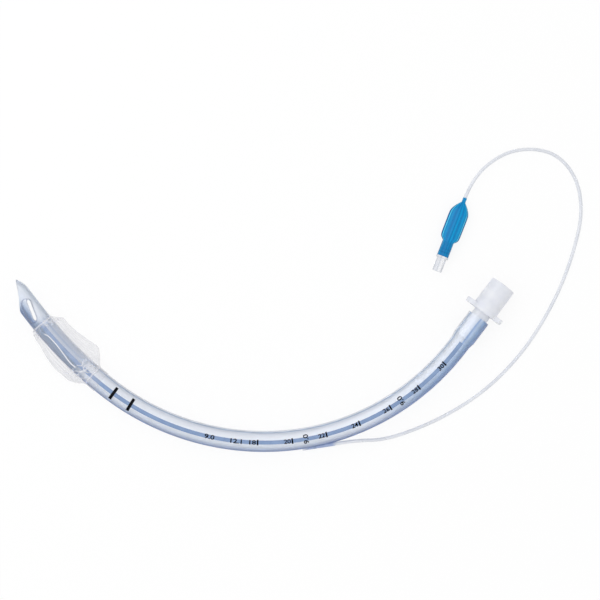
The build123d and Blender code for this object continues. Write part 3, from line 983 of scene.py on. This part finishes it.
def swept(tree: Tree, curve: Socket, radius: Socket, sides: int) -> Socket:
    """Add the nodes that draw a capped round bar along a curve.

    Args:
        tree: Node tree that gets the nodes.
        curve: Middle line.
        radius: Radius of the bar.
        sides: Number of its sides.

    Returns:
        The bar's mesh.
    """
    ring = add_node(tree, "GeometryNodeCurvePrimitiveCircle", {"Resolution": sides, "Radius": radius})
    sockets = {"Curve": curve, "Profile Curve": ring.outputs[0], "Fill Caps": True}
    return add_node(tree, "GeometryNodeCurveToMesh", sockets).outputs[0]


def along_curve(stations: Sequence[Sequence[float]], place: float) -> list[float]:
    """Read values between stations on a smooth curve through them.

    Args:
        stations: Rows of a place followed by its values, in order.
        place: Place to read at.

    Returns:
        The values at that place.
    """
    places = [row[0] for row in stations]
    last = len(places) - 1
    place = min(max(place, places[0]), places[-1])
    at = max(0, min(last - 1, sum(1 for p in places if p <= place) - 1))
    rows = [stations[max(0, at - 1)], stations[at], stations[at + 1], stations[min(last, at + 2)]]
    share = (place - places[at]) / (places[at + 1] - places[at])
    values = []
    for a, b, c, d in list(zip(*rows))[1:]:
        curved = (2 * a - 5 * b + 4 * c - d) * share**2 + (3 * b - a - 3 * c + d) * share**3
        values.append(0.5 * (2 * b + (c - a) * share + curved))
    return values


def lens_point(turn: float, reach: float, top: float, thinning: float) -> tuple[float, float]:
    """Point of a flattened tube's outline, drawn thin towards its side edges.

    Args:
        turn: Turns from the top to the inner side.
        reach: Reach of the side that the point lies on.
        top: Half height.
        thinning: How much the sides thin.

    Returns:
        Height and reach of the point.
    """
    angle = FULL_TURN * turn
    power = 1 + thinning * max(0.0, 1 - top / reach)
    upward = math.copysign(abs(math.cos(angle)) ** power, math.cos(angle))
    across = math.copysign(abs(math.sin(angle)) ** power, math.sin(angle))
    return top * upward, reach * across


class Setting(Enum):
    """How a printed number is set on the tube."""

    BEFORE_TICK = "along the tube, with its last digit beside its tick"
    ALONG = "along the tube, centred on its place"
    ACROSS = "across the tube, centred on its place"


@dataclass(frozen=True)
class Number:
    """Printed number.

    Attributes:
        text: Digits.
        place: Distance of its tick or its middle from the tip.
        setting: How it is set.
        width: Width of the whole number.
        height: Height of its digits.
    """

    text: str
    place: float
    setting: Setting = Setting.BEFORE_TICK
    width: float = 3.85
    height: float = 2.6


@dataclass
class AirwayTube:
    """Airway tube with its stripe, depth marks and printed numbers."""

    axis: TubeAxis
    nodes: dict[str, Thing]
    ink: float = 0.07
    stroke: float = 0.022
    strip: float = 0.3
    stand_off: float = 0.012
    number_gap: float = 0.95
    # Depths in centimetres stand beside ticks 20 mm apart; the others give the tube's bore and outside
    numbers: tuple[Number, ...] = (
        *(Number(str(depth), 10.0 * depth - 2.5) for depth in range(18, 32, 2)),
        Number("9.0", 149.6, Setting.ALONG, 5.8, 2.7),
        Number("12.1", 165.1, Setting.ALONG, 6.6, 2.7),
        Number("9.0", 205.4, Setting.ACROSS, 5.5, 3.0),
        Number("9.0", 264.8, Setting.ACROSS, 5.5, 3.0),
    )

    def wall(self) -> Thing:
        """Dress the clear wall, with a map along and round its axis.

        Returns:
            The piece.
        """
        mesh = merged_copy(self.nodes["airway_tube"])
        write_axis_map(mesh, *self.axis.locate(vertex_places(mesh)))
        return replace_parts(piece_from("airway_wall", mesh, extruded_vinyl()), "airway_tube")

    def shape_digits(self, work: bmesh.types.BMesh, number: Number) -> None:
        """Bring flat digits to size, cut them fine enough to wrap, and give them the ink's thickness.

        Args:
            work: The digits. They end as a slab in millimetres, centred.
            number: Number that they print.
        """
        xs = [v.co.x for v in work.verts]
        ys = [v.co.y for v in work.verts]
        wide, high = number.width / (max(xs) - min(xs)), number.height / (max(ys) - min(ys))
        for vert in work.verts:
            x, y = (vert.co.x - (max(xs) + min(xs)) / 2) * wide, (vert.co.y - (max(ys) + min(ys)) / 2) * high
            vert.co = (-y, x, 0) if number.setting is Setting.ACROSS else (x, y, 0)
        low = min(v.co.y for v in work.verts)
        top = max(v.co.y for v in work.verts)
        steps = max(2, round((top - low) / self.strip))
        for index in range(1, steps):
            cut = low + (top - low) * index / steps
            parts = list(work.verts) + list(work.edges) + list(work.faces)
            bmesh.ops.bisect_plane(work, geom=parts, plane_co=(0, cut, 0), plane_no=(0, 1, 0))
        bmesh.ops.triangulate(work, faces=work.faces)
        for face in work.faces:
            if face.normal.z < 0:
                face.normal_flip()
        raised = bmesh.ops.extrude_face_region(work, geom=list(work.faces), use_keep_orig=True)["geom"]
        for vert in (item for item in raised if isinstance(item, bmesh.types.BMVert)):
            vert.co.z += self.ink

    def print_numbers(self, black: Material) -> Thing:
        """Print the numbers on the wall.

        Args:
            black: The ink.

        Returns:
            The print's piece.
        """
        printed = bmesh.new()
        radius = self.axis.tube_r
        for number in self.numbers:
            curve = bpy.data.curves.new("number", "FONT")
            curve.body = number.text
            curve.align_x, curve.align_y = "CENTER", "CENTER"
            curve.offset = self.stroke
            holder = placed("number", curve)
            digits = shown_mesh(holder)
            bpy.data.objects.remove(holder)
            middle = number.place
            if number.setting is Setting.BEFORE_TICK:
                middle -= self.number_gap + number.width / 2
            with workbench(digits, digits) as work:
                self.shape_digits(work, number)
                for vert in work.verts:
                    spot = self.axis.at(middle + vert.co.x)
                    turns = vert.co.y / radius / FULL_TURN
                    vert.co = spot.ring(turns, radius + self.stand_off + vert.co.z) * MM
            printed.from_mesh(digits)
            bpy.data.meshes.remove(digits)
        bmesh.ops.recalc_face_normals(printed, faces=printed.faces)
        mesh = bpy.data.meshes.new("printed_numbers")
        printed.to_mesh(mesh)
        printed.free()
        return piece_from("printed_numbers", mesh, black)

    def build(self) -> list[Thing]:
        """Dress the tube, its stripe and its print.

        Returns:
            The pieces.
        """
        black = pad_print()
        band = piece_from("stripe_band", merged_copy(self.nodes["stripe"]), filled_vinyl())
        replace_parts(band, "stripe")
        marks = self.nodes["depth_marks"].data.materials
        marks.clear()
        marks.append(black)
        return [self.wall(), band, self.print_numbers(black)]


@dataclass
class Cuff:
    """Slack cuff: a film tube bonded to the airway tube at both ends, lying flat in two wings."""

    axis: TubeAxis
    film: float = 0.12
    top: float = 6.85
    sleeve_film: float = 0.3
    wall_gap: float = 0.16
    table_gap: float = 0.14
    distal: float = 3.6
    proximal: float = 6.0
    collar: float = 31.2
    last_bond: float = 72.6
    thinning: float = 0.55
    columns: int = 260
    rows: int = 180
    # Distance from the tip, then the reach of the inner and the outer wing
    stations: tuple[tuple[float, float, float], ...] = (
        (30.4, 6.6, 6.6), (31.6, 7.4, 7.7), (33.4, 9.4, 8.3), (36.0, 11.6, 9.0), (42.0, 11.5, 10.2),
        (50.0, 12.4, 11.8), (59.5, 13.9, 12.4), (64.5, 14.3, 11.3), (69.0, 10.6, 9.4), (72.9, 6.6, 6.6),
    )
    # The long fold on top: distance from the tip, then its place to the inner side
    fold: tuple[tuple[float, float], ...] = (
        (36.4, -2.4), (38.0, -1.6), (40.4, -1.1), (46.0, -1.1), (52.3, -1.75), (58.8, -2.7), (63.0, -2.5),
    )
    fold_width: float = 0.27

    def crumple(self, from_tip: float, lateral: float) -> float:
        """Tell how sharply the film is creased across itself at a place.

        Args:
            from_tip: Distance from the tip.
            lateral: Distance to the inner side.

        Returns:
            Share from 0, smooth, to 1, on the top of a crease.
        """
        zone = smooth(60.5, 63.5, from_tip) * (1 - smooth(70.5, 73.5, from_tip))
        zone *= 1 - smooth(4.5, 8.5, abs(lateral + 0.8))
        zone += 0.5 * smooth(31.0, 32.5, from_tip) * (1 - smooth(34.5, 37.0, from_tip))
        ridge = 1 - abs(noise.noise(Vector((from_tip * 0.33, lateral * 0.22, 2.0)))) / 0.13
        return zone * max(0.0, ridge)

    def lengthwise(self, from_tip: float, lateral: float) -> float:
        """Tell how much a fine line along the wings shows at a place.

        Args:
            from_tip: Distance from the tip.
            lateral: Distance to the inner side.

        Returns:
            Share from 0, clear, to 1, on a line.
        """
        drift = 0.9 * noise.noise(Vector((from_tip * 0.04, lateral * 0.12, 8.0)))
        ridge = 1 - abs(noise.noise(Vector((from_tip * 0.014, (lateral + drift) * 0.8, 5.0)))) / 0.12
        side = smooth(6.2, 7.4, -lateral) + 0.2 * smooth(6.4, 8.5, lateral)
        return side * max(0.0, ridge)

    def on_fold(self, from_tip: float, height: float, across: float) -> float:
        """Tell how near a place is to the long fold on top: 1 on it, 0 away from it.

        Args:
            from_tip: Distance from the tip.
            height: Height over the axis.
            across: Distance to the inner side.

        Returns:
            Share from 0 to 1.
        """
        if height <= 0:
            return 0.0
        length = smooth(35.8, 37.6, from_tip) * (1 - smooth(61.5, 63.6, from_tip))
        line = along_curve(self.fold, from_tip)[0]
        return length * math.exp(-(((across - line) / self.fold_width) ** 2))

    def point(self, from_tip: float, turn: float) -> tuple[Vector, float]:
        """Place one point of the film.

        Args:
            from_tip: Distance from the tip.
            turn: Turns from the top to the inner side.

        Returns:
            The point in millimetres, and how milky the film is there, painted highlight included.
        """
        spot = self.axis.at(from_tip)
        film_r = self.axis.tube_r + self.sleeve_film
        inner, outer = (max(reach, film_r) for reach in along_curve(self.stations, from_tip))
        slack = min(1.0, (inner + outer) / 2 / film_r - 1)
        top = film_r + (self.top - film_r) * slack
        loose = smooth(0.0, 0.4, slack)
        angle = FULL_TURN * turn
        side = math.sin(angle)
        to_inner = side > 0
        # The wings' edges wander a little, as the film is puckered where it is bonded
        sway = noise.noise(Vector((from_tip * 0.16, 3.0 if to_inner else 9.0, 0))) * 0.5
        sway += noise.noise(Vector((from_tip * 0.55, 5.0 if to_inner else 1.0, 4))) * 0.28
        reach = max((inner if to_inner else outer) + sway * loose, film_r)
        height, across = lens_point(turn, reach, top, self.thinning)
        pleat = noise.noise(Vector((from_tip * 0.05, math.cos(angle) * 3.4, side * 3.4)))
        crumple = self.crumple(from_tip, across)
        lines = self.lengthwise(from_tip, across)
        fold = self.on_fold(from_tip, height, across)
        lift = (0.3 * pleat - 0.15) * loose * (0.3 + 0.7 * abs(side)) + 0.3 * crumple + 0.25 * fold + 0.04 * lines
        length = math.hypot(height, across)
        height += lift * height / length
        across += lift * 0.4 * across / length
        # Neither into the wall nor into the table
        radius, least = math.hypot(height, across), self.axis.tube_r + self.wall_gap
        if radius < least:
            height, across = height * least / radius, across * least / radius
        place = spot.origin + spot.up * height + spot.inner * across
        place.z = max(place.z, self.table_gap)
        edge = math.exp(-(((abs(side) - 1) / 0.0016) ** 2)) * loose
        band = math.exp(-(((from_tip - self.collar) / 0.4) ** 2))
        ends = math.exp(-(((from_tip - self.last_bond) / 0.5) ** 2))
        # Haze and painted highlight: the film is painted whiter on the long fold, on the creases and at the wings'
        # side edges, and a little whiter on the fine lines and at the bonds
        haze_and_painted_highlight = 0.4 * edge + 0.55 * crumple + 0.22 * lines + 0.95 * fold + 0.45 * band + 0.35 * ends
        bonded = smooth(self.collar - 1.2, self.collar - 0.3, from_tip)
        # Wet flat on the tube the film is clearer than in the wings
        clear = (1 - smooth(5.6, 6.6, abs(across))) if height > 0 else 0.0
        return place, min(1.0, haze_and_painted_highlight) - 0.12 * (1 - bonded) - 0.05 * clear

    def build(self) -> Thing:
        """Make the cuff's film.

        Returns:
            The piece.
        """
        start, end = self.stations[0][0] - self.distal, self.stations[-1][0] + self.proximal
        places = [start + (end - start) * row / self.rows for row in range(self.rows + 1)]
        grid = [[self.point(place, column / self.columns) for column in range(self.columns)] for place in places]
        skin = film_skin("cuff_film", [[place for place, _ in ring] for ring in grid], places)
        haze_and_painted_highlight = skin.attributes.new("haze_and_painted_highlight", "FLOAT", "POINT")
        haze_and_painted_highlight.data.foreach_set("value", [value for ring in grid for _, value in ring])
        skin = modified(skin, "SOLIDIFY", thickness=self.film * MM, offset=-1.0, use_rim=True)
        piece = piece_from("cuff_film", skin, thin_film())
        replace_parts(piece, "cuff")
        return piece


@dataclass
class MouldedPiece:
    """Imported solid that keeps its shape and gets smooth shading, soft edges and a finish."""

    node: Thing
    name: str
    finish: Material
    slot: Slot
    edge: float = 0.0
    body: Body = Body.AIRWAY

    def build(self) -> Thing:
        """Make the piece in place of its solid.

        Returns:
            The piece.
        """
        mesh = merged_copy(self.node)
        if self.edge > 0:
            with workbench(mesh, mesh) as work:
                bmesh.ops.dissolve_limit(work, angle_limit=math.radians(0.6), verts=work.verts, edges=work.edges)
            mesh = modified(
                mesh,
                "BEVEL",
                width=self.edge * MM,
                segments=3,
                limit_method="ANGLE",
                angle_limit=math.radians(35),
                harden_normals=True,
            )
        piece = piece_from(self.name, mesh, self.finish, self.body)
        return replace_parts(piece, self.node.name)


@dataclass
class PilotLine:
    """Inflation line, pilot balloon and the spring check valve at its end."""

    nodes: dict[str, Thing]
    line: float = 2.0
    bore: float = 0.9
    length: float = 319.0
    neck_at: tuple[float, float, float] = (116.2, 97.0, 3.6)
    heading: float = -111.2
    wall: float = 0.45
    thinning: float = 0.55
    ripple: float = 0.03
    pleats: int = 14
    pleat: float = 0.012
    columns: int = 120
    rows: int = 130
    spring_turns: int = 5
    spring_length: float = 4.97
    spring_wire: float = 0.3
    spring_across: float = 2.8
    poppet_travel: float = 1.2
    neck: tuple[float, float] = (2.6, 1.15)
    # Distance from the neck's end, then half the width and half the height
    bulb: tuple[tuple[float, float, float], ...] = (
        (2.6, 1.15, 1.15), (3.6, 2.0, 1.6), (5.2, 3.35, 2.2), (7.4, 4.75, 2.85), (9.8, 5.6, 3.2), (16.0, 5.68, 3.35),
        (23.0, 5.62, 3.35), (24.6, 5.4, 3.35), (25.8, 4.75, 3.35), (26.7, 3.8, 3.35), (27.3, 3.35, 3.35),
        (28.2, 3.35, 3.35), (36.2, 3.35, 3.35),
    )
    # The line's route from the bond on the tube to the balloon's neck
    route: tuple[tuple[float, float, float], ...] = (
        (40.7271, -45.1793, 6.0188), (53.579, -43.224, 6.064), (68.0, -43.4, 2.6), (86.0, -38.0, 1.1),
        (106.0, -29.0, 1.05), (127.0, -15.6, 1.05), (145.5, 2.2, 1.05), (160.0, 22.2, 1.05),
        (172.0, 45.0, 1.05), (180.0, 67.5, 1.05), (184.6, 88.5, 1.05), (181.8, 108.0, 1.05),
        (170.5, 122.4, 1.05), (154.0, 126.4, 1.25), (137.0, 122.6, 1.95), (120.90, 109.12, 3.6),
        (116.2, 97.0, 3.6),
    )

    def __post_init__(self) -> None:
        """Work out the directions of the balloon and its valve."""
        angle = math.radians(self.heading)
        self.ahead = Vector((math.cos(angle), math.sin(angle), 0))
        self.side = self.ahead.cross(UP)

    def draw_tubing(self, tree: Tree, inputs: Any) -> Socket:
        """Draw the route out to a hollow tube, closed at both ends.

        Args:
            tree: Tree that gets the nodes.
            inputs: Inputs of the group.

        Returns:
            The tube's mesh.
        """
        outside = swept(tree, inputs["Shape"], inputs["Outer radius"], 24)
        shorter = add_node(tree, "GeometryNodeTrimCurve", {"Curve": inputs["Shape"], "Start": 0.002, "End": 0.998})
        bore = swept(tree, shorter.outputs[0], inputs["Bore radius"], 16)
        inward = add_node(tree, "GeometryNodeFlipFaces", {"Mesh": bore})
        joined = add_node(tree, "GeometryNodeJoinGeometry", {0: outside})
        tree.links.new(inward.outputs[0], joined.inputs[0])
        return joined.outputs[0]

    def tubing(self, finish: Material) -> tuple[Thing, list[Vector]]:
        """Lay the inflation line as one smooth free line with its bore.

        Args:
            finish: Material of the line.

        Returns:
            The line's piece, and the points that it follows, in metres.
        """
        curve = bpy.data.curves.new("route", "CURVE")
        curve.dimensions = "3D"
        curve.resolution_u = 20
        spline = curve.splines.new("NURBS")
        spline.points.add(len(self.route) - 1)
        for point, place in zip(spline.points, self.route):
            point.co = (*(value * MM for value in place), 1.0)
        spline.order_u = 3
        spline.use_endpoint_u = True
        holder = placed("drawn_tube", curve)
        bare = shown_mesh(holder)
        path = [vert.co.copy() for vert in bare.vertices]
        bpy.data.meshes.remove(bare)
        sizes = {"Outer radius": self.line / 2 * MM, "Bore radius": self.bore / 2 * MM}
        mesh = drawn_by_rule(holder, finish, sizes, self.draw_tubing)
        with workbench(mesh, mesh) as work:
            soften_shading(work, 50.0)
        piece = piece_from("inflation_tubing", mesh, finish)
        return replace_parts(piece, "inflation_line"), path

    def balloon(self) -> Thing:
        """Blow the flattened bulb between its neck and its sleeve.

        Returns:
            The piece.
        """
        rings, places = [], []
        for row in range(self.rows + 1):
            place = self.bulb[-1][0] * row / self.rows
            width = top = self.neck[1]
            if place > self.neck[0]:
                width, top = along_curve(self.bulb, place)
            flat = min(1.0, max(0.0, width / top - 1))
            ring = []
            for column in range(self.columns):
                turn = column / self.columns
                height, across = lens_point(turn, width, top, self.thinning)
                height *= 1 + self.ripple * flat * (math.cos(6 * FULL_TURN * turn) - 1)
                # The sleeve is gathered where it grips the valve
                grip = 1 + self.pleat * smooth(27.0, 29.0, place) * math.cos(FULL_TURN * turn * self.pleats)
                off = self.ahead * place + (self.side * across + UP * height) * grip
                ring.append(Vector(self.neck_at) + off)
            rings.append(ring)
            places.append(place)
        skin = film_skin("pilot_bulb", rings, places)
        skin = modified(skin, "SOLIDIFY", thickness=self.wall * MM, offset=-1.0, use_rim=True)
        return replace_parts(piece_from("pilot_bulb", skin, tinted_vinyl()), "pilot_balloon")

    def housing(self) -> Thing:
        """Dress the valve's clear body, with a map along and round the balloon's axis.

        Returns:
            The piece.
        """
        piece = MouldedPiece(self.nodes["valve_body"], "valve_housing", clear_moulding(), Slot.VALVE, 0.18).build()
        off = vertex_places(piece.data) - np.array(self.neck_at)
        turns = np.arctan2(off @ np.array(self.side), off[:, 2]) / FULL_TURN
        write_axis_map(piece.data, off @ np.array(self.ahead), np.mod(turns, 1.0))
        return piece

    def draw_spring(self, tree: Tree, inputs: Any) -> Socket:
        """Draw the wound wire.

        Args:
            tree: Tree that gets the nodes.
            inputs: Inputs of the group.

        Returns:
            The wire's mesh.
        """
        sockets = {"Resolution": 40, "Rotations": inputs["Turns"], "Height": inputs["Height"]}
        sockets |= {"Start Radius": inputs["Coil radius"], "End Radius": inputs["Coil radius"]}
        coil = add_node(tree, "GeometryNodeCurveSpiral", sockets)
        return swept(tree, coil.outputs[0], inputs["Wire radius"], 14)

    def spring(self) -> Thing:
        """Wind the valve's spring along its axis.

        Returns:
            The piece.
        """
        low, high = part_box("valve_spring")
        finish = drawn_steel()
        sizes = {
            "Turns": float(self.spring_turns),
            "Coil radius": (self.spring_across - self.spring_wire) / 2 * MM,
            "Wire radius": self.spring_wire / 2 * MM,
            "Height": self.spring_length * MM,
        }
        holder = placed("wound_spring", bpy.data.meshes.new("spring"))
        mesh = drawn_by_rule(holder, finish, sizes, self.draw_spring)
        base = (low + high) / 2 - self.ahead * self.spring_length * MM / 2
        for vert in mesh.vertices:
            x, y, z = vert.co
            vert.co = base + UP * x + self.side * y + self.ahead * z
        with workbench(mesh, mesh) as work:
            bmesh.ops.recalc_face_normals(work, faces=work.faces)
            soften_shading(work, 40.0)
        piece = piece_from("wound_spring", mesh, finish)
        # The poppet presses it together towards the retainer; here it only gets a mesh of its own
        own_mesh(piece)
        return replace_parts(piece, "valve_spring")

    def build(self) -> list[Thing]:
        """Returns:
            The pieces.
        """
        clear, white, rubber = small_bore_vinyl(), moulded_acetal(), moulded_rubber()
        retainer, poppet, seal = (self.nodes[name] for name in ("valve_retainer", "valve_poppet", "valve_seal"))
        tubing, path = self.tubing(clear)
        bond = MouldedPiece(self.nodes["line_bond"], "bonded_end", clear, Slot.LINE).build()
        housing = self.housing()
        carried = [
            bond,
            self.balloon(),
            housing,
            MouldedPiece(retainer, "spring_retainer", white, Slot.POPPET, 0.08).build(),
            self.spring(),
            MouldedPiece(poppet, "poppet", white, Slot.POPPET, 0.08, Body.PLUNGER).build(),
            MouldedPiece(seal, "poppet_seal", rubber, Slot.SEAL, 0.06, Body.PLUNGER).build(),
        ]
        return [tubing, *carried]


@dataclass
class Studio:
    """Table, lamps, world and the camera straight above."""

    middle: tuple[float, float] = (20.5, 37.9)
    frame_width: float = 346.8
    sensor: float = 36.0
    lens: float = 100.0
    object_height: float = 6.0
    # Half the table's side, in metres, and the share of it that shows as plain white
    table_size: float = 6.0
    table_white: float = 0.86
    room: float = 0.66
    # Name, place and size in metres, and power in watts
    lamps: tuple[tuple[str, tuple[float, float, float], float, float], ...] = (
        ("key", (-0.75, 0.55, 1.25), 1.5, 12.0),
        ("fill", (0.95, -0.75, 1.05), 1.7, 5.2),
    )

    def camera(self) -> None:
        """Hang the camera over the photograph's centre."""
        data = bpy.data.cameras.new("camera")
        data.lens, data.sensor_width = self.lens, self.sensor
        data.clip_start, data.clip_end = 0.01, 20.0
        distance = self.frame_width / self.sensor * self.lens + self.object_height
        thing = placed("camera", data)
        thing.location = Vector((*self.middle, distance)) * MM
        bpy.context.scene.camera = thing

    def table(self) -> None:
        """Lay the pale table, which shows white behind the part and keeps its shadow."""
        mesh = bpy.data.meshes.new("table")
        corners = [(x * self.table_size, y * self.table_size, 0) for x, y in ((-1, -1), (1, -1), (1, 1), (-1, 1))]
        mesh.from_pydata(corners, [], [(0, 1, 2, 3)])
        material = bpy.data.materials.new("pale_table")
        material.use_nodes = True
        tree = material.node_tree
        tree.nodes.clear()
        flat = add_node(tree, "ShaderNodeBsdfDiffuse", {"Color": linear("#F6F6F6")})
        white = add_node(tree, "ShaderNodeEmission", {"Color": linear("#FFFFFF"), "Strength": 1.0})
        share = calc(tree, "MULTIPLY", seen_ray(tree), self.table_white)
        mixed = add_node(tree, "ShaderNodeMixShader", {0: share, 1: flat.outputs[0], 2: white.outputs[0]})
        add_node(tree, "ShaderNodeOutputMaterial", {"Surface": mixed.outputs[0]})
        mesh.materials.append(material)
        placed("table", mesh)

    def lights(self) -> None:
        """Light the part plainly: an even world and two soft lamps."""
        world = bpy.data.worlds.new("room")
        bpy.context.scene.world = world
        world.use_nodes = True
        tree = world.node_tree
        tree.nodes.clear()
        even, seen = (
            add_node(tree, "ShaderNodeBackground", {"Color": linear("#FFFFFF"), "Strength": strength})
            for strength in (self.room, 1.0)
        )
        mixed = add_node(tree, "ShaderNodeMixShader", {0: seen_ray(tree), 1: even.outputs[0], 2: seen.outputs[0]})
        add_node(tree, "ShaderNodeOutputWorld", {"Surface": mixed.outputs[0]})
        for name, place, size, power in self.lamps:
            data = bpy.data.lights.new(name, "AREA")
            data.size, data.energy = size, power
            lamp = placed(name, data)
            lamp.location = place
            lamp.rotation_mode = "QUATERNION"
            lamp.rotation_quaternion = (-Vector(place)).to_track_quat("-Z", "Y")

    def build(self) -> None:
        """Set up the whole studio."""
        bpy.context.scene.view_settings.view_transform = "Standard"
        self.camera()
        self.table()
        self.lights()


def main() -> None:
    """Load the frame, dress every piece in order, and log the tip's reach."""
    logging.basicConfig(level=logging.INFO, format="%(name)s: %(message)s")
    for thing in list(bpy.data.objects):
        bpy.data.objects.remove(thing)
    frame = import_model()
    nodes = frame["nodes"]
    Studio().build()
    axis = TubeAxis()
    log.info("tip reach %.3f mm", axis.reach)
    connector = MouldedPiece(nodes["connector"], "cone_connector", moulded_polypropylene(), Slot.CONNECTOR, 0.35)
    pieces = [*PilotLine(nodes).build(), *AirwayTube(axis, nodes).build(), Cuff(axis).build(), connector.build()]


if __name__ == "__main__":
    main()
